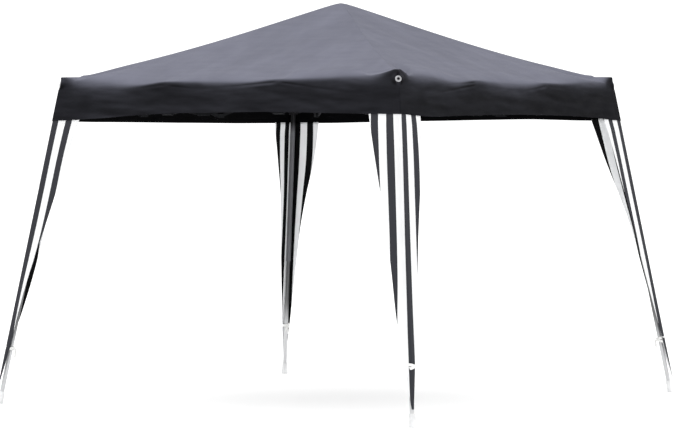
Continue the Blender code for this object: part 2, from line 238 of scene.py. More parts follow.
def plainFloor():
    finish = Finish("plainFloor", Roughness=0.9, Emission_Color=(1, 1, 1, 1),
                    Emission_Strength=studio["floorGlow"])
    scale, size = studio["floorGrain"]
    grain = finish.mottle(finish.place(), scale, detail=3) * size + (1 - size)
    return finish.wear(Base_Color=finish.shaded(studio["floorColour"], grain))


def finished(name, bm, materials):
    mesh = bpy.data.meshes.new(name)
    for face in bm.faces:
        face.smooth = True
    bm.to_mesh(mesh)
    bm.free()
    for material in materials:
        mesh.materials.append(material)
    made = bpy.data.objects.new(name, mesh)
    bpy.context.scene.collection.objects.link(made)
    return made


# The cloth's own metres, for its weave.
def layMetres(bm, metres):
    uvs = bm.loops.layers.uv.new("clothMetres")
    for face in bm.faces:
        for loop in face.loops:
            loop[uvs].uv = metres(loop.vert)


# A sheet's wall grows inwards, and its inner face has the second material.
def finishedSheet(name, bm, turn, materials, thickness):
    bmesh.ops.transform(bm, verts=bm.verts, matrix=quarterTurn(turn))
    sheet = finished(name, bm, materials)
    wall = sheet.modifiers.new("clothThickness", "SOLIDIFY")
    wall.thickness = thickness
    wall.offset = -1
    wall.material_offset = 1
    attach(sheet, tent["topBody"])
    return sheet


# Cloth finishes
cloth = {
    # painted sheen: the roof's grey stands for light on the same black cloth as the valance
    "paintedSheenGrey": (0.129, 0.132, 0.166),
    "black": (0.0098, 0.0100, 0.0124),
    # the cover's inside, a darker black than its outside: painted shade under the roof
    "inside": (0.0018, 0.0018, 0.0022),
    "thread": 0.00070,  # spacing of the weave
    "weaveBump": (0.00012, 0.35),
    "stitch": 0.0045,
    "stitchGap": 0.0020,
    "stitchWidth": 0.0009,
    "stitchSunk": 0.7,  # how deep a stitch lies, in layers of cloth
    "layerEnd": 0.0012,  # width of the step at a layer's edge
    "stripeWhite": (0.822, 0.826, 0.832),
    "stripeBlack": (0.0315, 0.0320, 0.0375),
    "outsideThrough": 0.26,  # share of light that a white stripe lets through, for each face
    # the striped cloth's black on its inside, darker: painted shade
    "insideShadedBlack": (0.0030, 0.0031, 0.0036),
    "insideThrough": 0.56,
    "throughColour": (0.95, 0.955, 0.96),
    "whiteWidth": 0.054,
    "blackWidth": 0.049,
}


def weave(finish, uv):
    turns = 2 * pi / cloth["thread"]
    warp, weft = (finish.node("Math", {"operation": "SINE"}, {0: finish.part(uv, number) * turns})
                  for number in (0, 1))
    return finish.bump(warp * weft, *cloth["weaveBump"])


# A row of stitches, 1 on the thread: off is the distance from the row and along runs with it.
def stitchRow(finish, off, along):
    pitch = cloth["stitch"] + cloth["stitchGap"]
    return (abs(off) < cloth["stitchWidth"] / 2) * ((along % pitch) < cloth["stitch"])


# Seams are drawn at distances that the cover keeps as attributes. Each doubles the cloth up to one
# distance, has its rows of stitches at others, and a height for its layer.
coverSeams = {
    "hemAway": (0.020, (0.017,), 1.0),
    "hipAway": (0.011, (0.002, 0.009), 0.4),
    "peakAway": (0.120, (0.116,), 1.0),
    "cornerAway": (0.150, (0.146,), 1.0),
}
# A mottle is its scale, and how much faster it changes along the side and down it.
coverLook = {
    "clouds": (2.6, (1, 0.36, 1)),  # wide ones, all over
    "cloudShade": (0.93, 1.07),
    "blotches": (1.3, (2.6, 11, 1)),  # and lengthwise ones, most on the valance
    "blotchShade": (0.28, -0.28),
    "blotchOnRoof": (0.0, 0.8, 1.0, 0.12),  # from black to the painted sheen grey, how much of that is left
    "creasesAlong": (2.2, (4, 9, 1)),  # fine ones, on the valance
    "creasesDown": (2.2, (5, 2, 1)),  # and on the roof
    "creaseBump": (0.003, 0.25),
    "hemShade": (0.020, 0.002, 1.0, 1.15),  # from and to a height above the hem, and the shade there
    "stitchShade": 0.12,
    "seamBump": (0.0004, 0.7),
    "roughness": (0.62, 0.74),
    "insideClouds": 3.0,
    "insideShade": (0.8, 1.2),
}


def coverCloth():
    finish = Finish("coverCloth", Specular_IOR_Level=0.03)
    uv = finish.uv()
    across, along = finish.part(uv, 0), finish.part(uv, 1)
    fade = finish.attribute("fade")
    mottles = ("clouds", "blotches", "creasesAlong", "creasesDown")
    cloud, blotch, lengthwise, downRoof = (finish.mottle(uv, *coverLook[kind]) for kind in mottles)
    crease = lengthwise + (downRoof - lengthwise) * fade
    runs = {"hemAway": across, "hipAway": finish.attribute("hipAlong"),
            "peakAway": across, "cornerAway": along}
    rows, doubled = 0.0, 0.0
    for kind, (edge, insets, height) in coverSeams.items():
        away = finish.attribute(kind)
        doubled = doubled + finish.ramp(away, edge, edge - cloth["layerEnd"]) * height
        for inset in insets:
            rows = rows + stitchRow(finish, away - inset, runs[kind])
    blotched = finish.vary(blotch, *coverLook["blotchShade"]) * finish.ramp(fade, *coverLook["blotchOnRoof"])
    hem = finish.ramp(finish.attribute("hemAway"), *coverLook["hemShade"])
    # Painted sheen: grey on the roof, black on the valance. After it come the painted light and shade of
    # wrinkles, creases and sides.
    colour = finish.mix(cloth["black"], cloth["paintedSheenGrey"], fade)
    colour = finish.shaded(colour, finish.vary(cloud, *coverLook["cloudShade"]), blotched + 1,
                           finish.attribute("tone"), hem, 1 - rows * coverLook["stitchShade"])
    sewn = finish.bump(doubled - rows * cloth["stitchSunk"], *coverLook["seamBump"], weave(finish, uv))
    creased = finish.bump(crease, *coverLook["creaseBump"], sewn)
    rough = finish.vary(crease, *coverLook["roughness"])
    return finish.wear(Base_Color=colour, Roughness=rough, Normal=creased)


# The cover's inside: its darker black is painted shade under the roof.
def coverInside():
    finish = Finish("coverInside", Roughness=0.8, Specular_IOR_Level=0.02)
    uv = finish.uv()
    cloud = finish.mottle(uv, coverLook["insideClouds"])
    colour = finish.shaded(cloth["inside"], finish.vary(cloud, *coverLook["insideShade"]))
    return finish.wear(Base_Color=colour, Normal=weave(finish, uv))


stripedLook = {
    "clouds": 4.0,
    "cloudShade": (0.96, 1.02),
    "creases": (2.5, (9, 3, 1)),
    "creaseBump": (0.004, 0.4),
    "edgeRow": 0.008,  # how far a row of stitches is from the edge
    "edgeHem": (0.0105, 0.0095),  # width of the turned edge, to nothing and in full
    "stitchShade": 0.2,
    "seamBump": (0.0006, 1.0),
}


# Striped cloth is thin, so its white lets light through. Its black is darker on its inside: painted shade.
def stripedCloth(name, black, lightThrough):
    finish = Finish(name, Specular_IOR_Level=0.04, Roughness=0.6)
    uv = finish.uv()
    period = cloth["whiteWidth"] + cloth["blackWidth"]
    dark = (finish.attribute("stripe") % period) < cloth["blackWidth"]
    edgeAway = finish.attribute("edgeAway")
    cloud = finish.mottle(uv, stripedLook["clouds"])
    crease = finish.mottle(uv, *stripedLook["creases"])
    rows = stitchRow(finish, edgeAway - stripedLook["edgeRow"], finish.part(uv, 1))
    colour = finish.mix(cloth["stripeWhite"], black, dark)
    colour = finish.shaded(colour, finish.vary(cloud, *stripedLook["cloudShade"]),
                           1 - rows * stripedLook["stitchShade"])
    doubled = finish.ramp(edgeAway, *stripedLook["edgeHem"])
    sewn = finish.bump(doubled - rows * cloth["stitchSunk"], *stripedLook["seamBump"], weave(finish, uv))
    creased = finish.bump(crease, *stripedLook["creaseBump"], sewn)
    through = finish.node("BsdfTranslucent", {}, {"Color": cloth["throughColour"]})
    share = (1 - dark) * lightThrough
    surface = Wire(finish, finish.shader.outputs[0])
    both = finish.node("MixShader", {}, {0: share, 1: surface, 2: through})
    finish.put(finish.tree.nodes["Material Output"].inputs["Surface"], both)
    return finish.wear(Base_Color=colour, Normal=creased)


# Cover: one side is its roof, fold and valance in one sheet
cover = {
    "eaves": 1.216,  # outer face at the fold, at a corner
    "eavesHeight": 1.9585,
    "peakHeight": 2.417,
    "peakRound": 0.020,
    "pad": 1.137,  # from here out the hip lies on the corner bracket
    "padHeight": 1.960,
    "hipSag": 0.026,
    "sagLow": 1.15,  # above 1, a hip sags most nearer the eaves
    "hipDip": 0.006,  # how far the hip sinks beside the bracket
    "dipPlaces": (0.05, 0.22),  # inwards of it, where the dip is deepest and where it ends
    "panelSag": 0.020,
    "panelEdge": 1.150,  # where its sag ends, before the corner
    "panelFirm": 12,  # and how suddenly
    "foldSag": 0.039,
    "settles": 0.70,  # on the way to the fold, from where a panel comes to its height
    "climbEnd": 1.190,  # where the fold reaches its corner's height
    "crisp": 0.008,
    "bendDown": 0.50,  # share of a bend's length that is on the valance
    "bendLift": 0.48,
    "bendOpens": 0.14,  # share of a span over which its bend opens
    "supports": (-0.400, 0.400),
    "supportHalf": 0.014,
    "thickness": 0.0010,
    "cornerRadius": 0.012,
    "hipRadius": 0.010,
    "radiusGrows": 1.05,  # from here out, from the hip's to the corner's
    "flare": 0.001,
    "toneOfSlope": 2.2,  # painted light: how much lighter a wrinkle is where it faces up
    "toneLimits": (0.3, 2.2),
    "hemTone": (0.02, 0.16),  # above the hem, where the valance's painted shading begins to change and is whole
    "columns": 200,
    "crowding": 0.9,  # of the columns towards the corners
    "roofRows": 58,
    "roofCrowding": 1.25,  # above 1, its rows are closer at the eaves
    "foldRows": 12,
    "valanceRows": 38,
    "valanceCrowding": 1.2,  # and here at the fold
    "weld": 0.0002,  # how near points are made one, at the peak
}
# Each side from left to right as seen from outside. The fold climbs onto a bracket at each end:
# from how far out, from what height and how soon (below 1) or late. Between them it hangs from
# two joints of the frame, in three spans, each with its heights at the quarters and how softly it
# bends at its start, middle and end. At even steps along the side: the hem's height, how softly
# the roof's painted sheen grey turns into the black valance (mm), and its haze (percent). Painted
# shading is the valance's at the left, at the right, and what is left of it at the hem. Roof painted
# shading is at the two hips. A crease is its support, its way to the left (-1) or right (1), how far
# below the support it starts, its slope, the height of its ridge, how dark its valley's painted shade
# and light its ridge's painted light are, and its length.
coverSides = {
    "front": {
        "corners": (1.958, 1.970),
        "climbs": ((1.105, 1.936, 0.85), (1.030, 1.936, 1.3)),
        "supports": (1.922, 1.925),
        "spans": ((1.924, 1.908, 1.908), (1.919, 1.914, 1.914), (1.927, 1.929, 1.934)),
        "bends": ((0.150, 0.120, 0.012), (0.025, 0.080, 0.015), (0.060, 0.070, 0.080)),
        "hem": (1.698, 1.708, 1.726, 1.737, 1.738, 1.739, 1.733, 1.726, 1.721),
        "soft": (8, 22, 20, 7, 4, 8, 12, 6, 6, 9, 12, 12, 5),
        "haze": (6, 22, 16, 5, 2, 5, 13, 7, 3, 8, 12, 12, 3),
        "tone": (1.05, 1.0, 1.0),
        "roofPaintedShading": (1.078, 1.033),
        "creases": ((1, -1, 0.012, 0.066, 0.0026, 0.54, 0.85, 0.32),
                    (1, 1, 0.012, 0.130, 0.0010, 0.68, 0.15, 0.32),
                    (0, -1, 0.014, 0.080, 0.0010, 0.41, 0.20, 0.25),
                    (0, 1, 0.020, 0.100, 0.0008, 0.61, 0.20, 0.16)),
        "seed": 3.0,
    },
    "right": {
        "corners": (1.970, 1.966),
        "climbs": ((1.115, 1.936, 0.85), (1.105, 1.931, 0.7)),
        "supports": (1.920, 1.917),
        "spans": ((1.938, 1.923, 1.907), (1.912, 1.906, 1.906), (1.918, 1.924, 1.931)),
        "bends": ((0.120, 0.120, 0.015), (0.040, 0.120, 0.025), (0.030, 0.090, 0.040)),
        "hem": (1.721, 1.708, 1.715, 1.722, 1.725, 1.725, 1.722, 1.712, 1.697),
        "soft": (5, 18, 14, 10, 6, 10, 16, 11, 5, 6, 12, 13, 5),
        "haze": (3, 20, 18, 11, 15, 31, 36, 18, 6, 8, 14, 11, 4),
        "tone": (1.04, 0.76, 0.72),
        "roofPaintedShading": (1.0, 0.968),
        "creases": ((0, -1, 0.008, 0.050, 0.0010, 0.95, 0.00, 0.24),
                    (0, -1, 0.022, 0.120, 0.0016, 0.97, 0.15, 0.34),
                    (1, -1, 0.014, 0.125, 0.0016, 0.61, 0.75, 0.20),
                    (1, 1, 0.016, 0.060, 0.0008, 0.27, 0.15, 0.20)),
        "seed": 11.0,
    },
    "back": {
        "corners": (1.966, 1.962),
        "climbs": ((1.100, 1.929, 0.7), (1.105, 1.932, 0.8)),
        "supports": (1.923, 1.922),
        "spans": ((1.921, 1.911, 1.908), (1.911, 1.904, 1.909), (1.908, 1.897, 1.911)),
        "bends": ((0.090, 0.110, 0.014), (0.030, 0.090, 0.015), (0.050, 0.120, 0.130)),
        "hem": (1.697, 1.700, 1.709, 1.708, 1.705, 1.702, 1.699, 1.695, 1.696),
        "soft": (5, 16, 11, 7, 4, 8, 11, 8, 5, 8, 16, 15, 6),
        "haze": (3, 15, 12, 6, 3, 8, 16, 7, 3, 10, 18, 14, 4),
        "tone": (0.76, 0.95, 0.85),
        "roofPaintedShading": (0.968, 1.0),
        "creases": ((0, -1, 0.012, 0.080, 0.0020, 0.61, 0.60, 0.28),
                    (1, 1, 0.014, 0.110, 0.0022, 0.68, 0.50, 0.30),
                    (1, -1, 0.016, 0.090, 0.0010, 0.41, 0.20, 0.20)),
        "seed": 19.0,
    },
    "left": {
        "corners": (1.962, 1.958),
        "climbs": ((1.105, 1.932, 0.8), (1.100, 1.934, 0.6)),
        "supports": (1.922, 1.923),
        "spans": ((1.918, 1.905, 1.909), (1.913, 1.909, 1.914), (1.912, 1.910, 1.922)),
        "bends": ((0.100, 0.120, 0.014), (0.045, 0.110, 0.020), (0.060, 0.100, 0.080)),
        "hem": (1.696, 1.694, 1.692, 1.692, 1.692, 1.693, 1.693, 1.693, 1.698),
        "soft": (6, 16, 16, 8, 4, 7, 10, 8, 5, 10, 15, 16, 8),
        "haze": (4, 14, 18, 7, 3, 10, 15, 6, 3, 8, 14, 16, 4),
        "tone": (0.95, 1.05, 0.90),
        "roofPaintedShading": (1.0, 1.078),
        "creases": ((0, -1, 0.012, 0.100, 0.0020, 0.68, 0.50, 0.30),
                    (1, -1, 0.014, 0.075, 0.0018, 0.54, 0.55, 0.26),
                    (1, 1, 0.018, 0.120, 0.0010, 0.47, 0.25, 0.22)),
        "seed": 27.0,
    },
}


# A smooth line through heights at even steps.
def throughSteps(heights, part):
    steps = len(heights) - 1
    number = min(int(part * steps), steps - 1)
    local = part * steps - number
    before = heights[max(number - 1, 0)]
    start, end = heights[number], heights[number + 1]
    after = heights[min(number + 2, steps)]
    bend = (2 * before - 5 * start + 4 * end - after) * local ** 2
    bend += (3 * (start - end) + after - before) * local ** 3
    return start + 0.5 * ((end - before) * local + bend)


# How far out a roof line is, rounded off at the peak.
def fromPeak(reach):
    return sqrt(reach ** 2 + cover["peakRound"] ** 2) - cover["peakRound"]


def hipHeight(reach):
    if reach > cover["pad"]:
        part = (reach - cover["pad"]) / (cover["eaves"] - cover["pad"])
        return between(cover["padHeight"], cover["eavesHeight"], part)
    part = max(0.0, fromPeak(reach)) / cover["pad"]
    inside = cover["pad"] - reach
    deepest, end = cover["dipPlaces"]
    dip = cover["hipDip"] * smooth(inside, 0, deepest) * (1 - smooth(inside, deepest, end))
    sag = cover["hipSag"] * sin(pi * part ** cover["sagLow"])
    return between(cover["peakHeight"], cover["padHeight"], part) - sag - dip


def middleHeight(part):
    part = fromPeak(part * cover["eaves"]) / cover["eaves"]
    drop = cover["peakHeight"] - cover["eavesHeight"] + cover["foldSag"]
    return cover["peakHeight"] - drop * part - cover["panelSag"] * sin(pi * min(part, 1))


def panelHeight(across, part):
    share = (1 - min(abs(across) * cover["eaves"] / cover["panelEdge"], 1) ** cover["panelFirm"]) ** 2
    return between(hipHeight(part * cover["eaves"]), middleHeight(part), share)


# The span that x lies in, and how far along it is. None is on a support or past a span's end.
def foldSpan(side, x):
    left, right = cover["supports"]
    half = cover["supportHalf"]
    leftEnd, rightEnd = (climb[0] for climb in side["climbs"])
    edges = ((-leftEnd, left - half), (left + half, right - half), (right + half, rightEnd))
    for number, (start, end) in enumerate(edges):
        if start <= x <= end:
            return number, (x - start) / (end - start)
    return None, 0.0


# Height of the line along which the cloth turns down.
def foldHeight(side, across):
    x = across * cover["eaves"]
    end = 1 if x > 0 else 0
    start, low, haste = side["climbs"][end]
    if abs(x) > start:
        climb = min((abs(x) - start) / (cover["climbEnd"] - start), 1) ** haste
        return between(low, side["corners"][end], climb)
    number, part = foldSpan(side, x)
    if number is None:
        return side["supports"][end]
    ends = (side["climbs"][0][1], *side["supports"], side["climbs"][1][1])
    return throughSteps((ends[number], *side["spans"][number], ends[number + 1]), part)


# How far from the fold its bend begins on the roof.
def foldBend(side, across):
    number, part = foldSpan(side, across * cover["eaves"])
    if number is None:
        return cover["crisp"]
    start, middle, end = side["bends"][number]
    if part < 0.5:
        bend = between(start, middle, smooth(part * 2))
    else:
        bend = between(middle, end, smooth(part * 2 - 1))
    swell = smooth(part, 0, cover["bendOpens"]) * smooth(1 - part, 0, cover["bendOpens"])
    return between(cover["crisp"], bend, swell)


# Where roof and valance would meet if the cloth had no bend.
def foldCorner(side, across):
    height = foldHeight(side, across) + cover["bendLift"] * cover["bendDown"] * foldBend(side, across)
    return Vector((valanceReach(height), height))


def hemHeight(side, across):
    return throughSteps(side["hem"], (across + 1) / 2)


def valanceReach(height):
    return cover["eaves"] + tent["lean"] * (cover["eavesHeight"] - height) + cover["flare"]


def roofPoint(side, across, part):
    corner = foldCorner(side, across)
    settle = smooth(part, cover["settles"], 1.0)
    height = panelHeight(across, part) + (corner.y - panelHeight(across, 1)) * settle
    return Vector((part * corner.x, height))


# A row's point in the upright plane of its column: x is the reach and y the height.
def sectionPoint(side, across, row):
    corner = foldCorner(side, across)
    bend = foldBend(side, across)
    down = Vector((tent["lean"], -1)).normalized()
    lastPart = 1 - bend / corner.x
    if row <= cover["roofRows"]:
        part = 1 - (1 - row / cover["roofRows"]) ** cover["roofCrowding"]
        return roofPoint(side, across, part * lastPart)
    row -= cover["roofRows"]
    end = corner + down * bend * cover["bendDown"]
    if row <= cover["foldRows"]:
        part = row / cover["foldRows"]
        start = roofPoint(side, across, lastPart)
        return rounded(start, corner, end, part)
    part = (row - cover["foldRows"]) / cover["valanceRows"]
    height = between(end.y, hemHeight(side, across), part ** cover["valanceCrowding"])
    return Vector((valanceReach(height), height))


# At each level the cover is a square with rounded corners. A side ends on the diagonal.
def roundedCorner(x, reach, radius):
    start = reach - radius
    if abs(x) <= start:
        return x, -reach
    turn = (abs(x) - start) / radius * pi / 4
    side = 1 if x > 0 else -1
    return side * (start + radius * sin(turn)), -(start + radius * cos(turn))


def coverPoint(side, across, row):
    reach, height = sectionPoint(side, across, row)
    grown = smooth(reach, cover["radiusGrows"], cover["eaves"])
    radius = between(cover["hipRadius"], cover["cornerRadius"], grown)
    radius = min(radius, reach * 0.5)
    x, y = roundedCorner(across * reach, reach, radius)
    return Vector((x, y, height))


# Around a grommet the cloth of a corner is drawn flat, square to the diagonal.
def flattened(place):
    sharp = valanceReach(place.z)
    mirror = 1 if place.x > 0 else -1
    depth = (sharp - abs(place.x) + sharp + place.y) / sqrt(2)
    off = hypot((abs(place.x) + place.y) / sqrt(2), place.z - grommet["height"])
    move = (grommet["depth"] - depth) * (1 - smooth(off, *grommet["flat"])) / sqrt(2)
    return Vector((place.x - mirror * move, place.y + move, place.z))


creaseForm = {
    "grows": 0.05,  # length over which it grows from its support
    "valley": 0.0055,  # half the width of its valley,
    "ridge": 0.009,  # and of its ridge
    "ridgeBelow": 0.015,  # the middle of the valley
    "sunk": 0.6,  # depth of the valley, as a share of the ridge's height
}


# How far the ridges of the creases stand out, and the painted shade in the valleys above them, less the
# painted light on the ridges.
def creaseAt(side, place):
    ridges, shade = 0.0, 0.0
    for support, way, start, slope, size, dark, light, length in side["creases"]:
        along = (place.x - cover["supports"][support]) * way
        if along < 0:
            continue
        off = side["supports"][support] - place.z - start - along * slope
        strength = smooth(along, 0, creaseForm["grows"]) * exp(-(along / length) ** 2)
        valley = exp(-(off / creaseForm["valley"]) ** 2)
        ridge = exp(-((off - creaseForm["ridgeBelow"]) / creaseForm["ridge"]) ** 2)
        ridges += size * (ridge - creaseForm["sunk"] * valley) * strength
        shade += (dark * valley - light * ridge) * strength
    return ridges, shade


# Waves of the cloth are sums of noise. Each has its size, a number that tells it apart, and how
# fast its place in the noise moves, both ways, with a step along the side and with one down it.
waveLook = {
    "roof": ((0.0040, 0, (2.4, 0), (0, 2.4)), (0.0012, 4, (7, 0), (0, 5))),
    "valance": ((0.0020, 0, (3.5, 0), (2, 26)), (0.0012, 7, (9, 8), (0, 30)), (0.0050, 9, (1.8, 0), (0, 5))),
    "hipCalm": 0.12,  # how far from a hip the roof's waves are whole
    "peakCalm": (0.02, 0.3),  # on the way from the peak, where they begin and are whole
    "eavesCalm": (0.85, 1),  # on the way to the eaves, where they begin to calm,
    "eavesLess": 0.6,  # and by what share
    "foldCalm": 0.04,  # how far below the fold the valance's are whole
    "endCalm": (0.90, 1.12),  # from mid-side, where these begin to end and are gone
}


def waves(kinds, seed, along, down):
    height = 0.0
    for size, number, lengthwise, crosswise in kinds:
        spot = Vector((along * lengthwise[0] + down * lengthwise[1],
                       along * crosswise[0] + down * crosswise[1], seed + number))
        height += noise.noise(spot) * size
    return height


def coverWrinkle(side, row, place):
    if row < cover["roofRows"]:
        part = row / cover["roofRows"]
        hipAway = (-place.y - abs(place.x)) / sqrt(2)
        height = waves(waveLook["roof"], side["seed"], place.x, place.y)
        height *= smooth(hipAway, 0, waveLook["hipCalm"]) * smooth(part, *waveLook["peakCalm"])
        return height * (1 - waveLook["eavesLess"] * smooth(part, *waveLook["eavesCalm"]))
    drop = max(0.0, foldHeight(side, place.x / cover["eaves"]) - place.z)
    height = waves(waveLook["valance"], side["seed"], place.x, place.z)
    height *= 1 - smooth(abs(place.x), *waveLook["endCalm"])
    return height * smooth(drop, 0.0, waveLook["foldCalm"])


# Where seams run: distances kept on the cloth for its finish. Far is where there is none.
def seamDistances(side, across, row, place):
    far = 1.0
    onRoof = row <= cover["roofRows"]
    fromCorner = hypot(cover["eaves"] - abs(place.x), cover["eaves"] + place.y)
    return {
        "hemAway": far if onRoof else place.z - hemHeight(side, across),
        "hipAway": (-place.y - abs(place.x)) / sqrt(2) if onRoof else far,
        "hipAlong": (abs(place.x) - place.y) / sqrt(2),
        "peakAway": -place.y,
        "cornerAway": fromCorner if onRoof else far,
    }


# How the roof's painted sheen grey ends. Haze is painted sheen grey that the valance keeps at its top.
sheenFalloff = {
    "tip": 0.015,  # how much higher the black reaches at the corners
    "tipPlaces": (0.88, 0.985),  # on the way from mid-side, where that begins and is whole
    "crispest": 0.002,
    "furthest": 30,  # times the softness, past which there is no grey to work out
    "hazeDepth": 0.035,  # over which it thins out
    "hazeFrom": (-0.01, 0.02),  # and where it begins and is whole
}


# How much of the roof's painted sheen grey a point keeps. Past is how far it is down the cloth from the
# line where the two sides would meet, less than nothing on the roof.
def paintedSheenAt(side, across, place):
    height = foldHeight(side, across)
    past = (height - place.z) - (valanceReach(height) + place.y)
    past += sheenFalloff["tip"] * smooth(abs(across), *sheenFalloff["tipPlaces"])
    soft = throughSteps(side["soft"], (across + 1) / 2) / 1000
    haze = throughSteps(side["haze"], (across + 1) / 2) / 100
    fade = 1 / (1 + exp(min(past / max(soft, sheenFalloff["crispest"]), sheenFalloff["furthest"])))
    kept = max(haze, 0) * exp(-max(past, 0) / sheenFalloff["hazeDepth"]) * smooth(past, *sheenFalloff["hazeFrom"])
    return fade + (1 - fade) * kept


def makeCoverSide(name, turn, materials):
    side = coverSides[name]
    rows = cover["roofRows"] + cover["foldRows"] + cover["valanceRows"]
    bm = bmesh.new()
    bmesh.ops.create_grid(bm, x_segments=cover["columns"], y_segments=rows, size=1)
    kept = {kind: bm.verts.layers.float.new(kind)
            for kind in ("fade", "tone", "hemAway", "hipAway", "hipAlong", "peakAway", "cornerAway")}
    rowOf, facing = {}, {}
    for vert in bm.verts:
        across = between(vert.co.x, sin(vert.co.x * pi / 2), cover["crowding"])
        row = round((1 - vert.co.y) / 2 * rows)
        rowOf[vert] = row
        vert.co = coverPoint(side, across, row)
        for kind, distance in seamDistances(side, across, row, vert.co).items():
            vert[kept[kind]] = distance
        vert[kept["fade"]] = paintedSheenAt(side, across, vert.co)
    bm.normal_update()
    for vert, row in rowOf.items():
        black = 1 - vert[kept["fade"]] if row > cover["roofRows"] else 0
        ridges, shade = (amount * black for amount in creaseAt(side, vert.co))
        facing[vert] = vert.normal.z
        vert[kept["tone"]] = shade
        vert.co += vert.normal * (coverWrinkle(side, row, vert.co) + ridges)
    for vert in bm.verts:
        vert.co = flattened(vert.co)
    bm.normal_update()
    left, right, low = side["tone"]
    # Painted light and shade: lighter where a wrinkle turns up, plus the creases' painted shade and light,
    # plus each side's painted shading across it, towards the hem and between its hips.
    for vert, upwards in facing.items():
        lit = 1 + cover["toneOfSlope"] * (1 - vert[kept["fade"]]) * (vert.normal.z - upwards)
        lit = min(max(lit * (1 - vert[kept["tone"]]), cover["toneLimits"][0]), cover["toneLimits"][1])
        tone = between(left, right, smooth(vert.co.x, -cover["eaves"], cover["eaves"]))
        tone *= between(low, 1.0, smooth(vert[kept["hemAway"]], *cover["hemTone"]))
        hipToHip = min(max(vert.co.x / max(-vert.co.y, cover["peakRound"]), -1), 1)
        roofPaintedShading = between(*side["roofPaintedShading"], (hipToHip + 1) / 2)
        vert[kept["tone"]] = lit * between(tone, roofPaintedShading, vert[kept["fade"]])
    layMetres(bm, lambda vert: (vert.co.x, -vert.co.y - vert.co.z))
    bmesh.ops.remove_doubles(bm, verts=bm.verts, dist=cover["weld"])
    sheet = finishedSheet(f"{name}_cover", bm, turn, materials, cover["thickness"])
    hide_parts(f"{name}_roof_panel", f"{name}_valance")
    return sheet


def makeCover():
    materials = [coverCloth(), coverInside()]
    for turn, name in enumerate(sides):
        sheet = makeCoverSide(name, turn, materials)


# Grommets: a pressed ring on each corner of the cover, under the eaves
grommet = {
    "height": 1.9185,
    "depth": 0.009,  # of its seat, behind where the two sides would meet
    "flat": (0.018, 0.040),  # how far the cloth is flat, and from where it has its own shape
    "steps": 48,
    "colour": (0.33, 0.33, 0.34),
    "clouds": 60,
    "cloudShade": (0.80, 1.10),
    "spots": 260,
    "roughness": (0.35, 0.7, 0.20, 0.34),  # from and to a value of the spots, and what it is there
    "bump": (0.0002, 0.25),
}
# Half a section of the ring, from its hole outwards: radius and height
grommetSection = ((0.0078, -0.0012), (0.0078, 0.0015), (0.0085, 0.0027), (0.0095, 0.0033), (0.0120, 0.0030),
                  (0.0155, 0.0021), (0.0178, 0.0011), (0.0188, 0.0001), (0.0183, -0.0007))


def nickel():
    finish = Finish("nickel", Metallic=1.0)
    place = finish.place()
    spots = finish.mottle(place, grommet["spots"], detail=3)
    cloud = finish.mottle(place, grommet["clouds"], detail=2)
    colour = finish.shaded(grommet["colour"], finish.vary(cloud, *grommet["cloudShade"]))
    rough = finish.ramp(spots, *grommet["roughness"])
    return finish.wear(Base_Color=colour, Roughness=rough, Normal=finish.bump(spots, *grommet["bump"]))


def makeGrommets():
    material = nickel()
    slant = atan(tent["lean"] * sqrt(2))  # of the corner line
    for turn, name in enumerate(corners):
        bm = bmesh.new()
        ring = [bm.verts.new((radius, 0, height)) for radius, height in grommetSection]
        edges = [bm.edges.new((ring[number - 1], vert)) for number, vert in enumerate(ring)]
        bmesh.ops.spin(bm, geom=ring + edges, cent=(0, 0, 0), axis=(0, 0, 1), angle=2 * pi,
                       steps=grommet["steps"], use_merge=True)
        bmesh.ops.recalc_face_normals(bm, faces=bm.faces)
        reach = valanceReach(grommet["height"]) - grommet["depth"] / sqrt(2)
        seat = (Matrix.Translation((reach, -reach, grommet["height"])) @ Matrix.Rotation(-pi / 4, 4, "Z")
                @ Matrix.Rotation(pi / 2 - slant, 4, "Y"))
        bmesh.ops.transform(bm, verts=bm.verts, matrix=quarterTurn(turn) @ seat)
        piece = finished(f"{name}_grommet", bm, [material])
        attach(piece, tent["topBody"])


# Leg curtains: two striped wings that meet in a rounded crease outside the leg
curtain = {
    "foot": 0.100,
    "taper": 0.125,  # width of a wing per metre of height
    "tip": 0.010,
    "face": 0.0262,  # from the leg axis to its outer face
    "crease": 0.012,  # radius of the crease
    "thickness": 0.0008,
    "held": 1.748,  # height on its leg at which a curtain is held
    "shortest": 0.572,  # share of its height that would be left at its shortest
    "curl": 1.4,  # above 1, a wing swings most at its free edge
    "sway": (0.006, 1.7, 1.3),  # size of its slow waves, their changes a metre, their outward growth
    "pleats": (0.0045, 17, 1.1),  # size of its pleats, their changes a metre across and down
    "fromCrease": (0.3, 0.5),  # shares of a wing over which the pleats and the tuck grow
    "freeFrom": (0.02, 0.22),  # below its top, where the waves begin and are whole
    "tied": 0.25,  # share of the waves that is left at the tie
    "tiedReach": (0.02, 0.30),  # and how far from it they begin to grow back and are whole
    "tuck": 0.003,  # how far a wing's top is tucked in behind the valance
    "tuckEnds": (0.01, 0.08),  # below the top
    "columns": 56,
    "rows": 130,
}
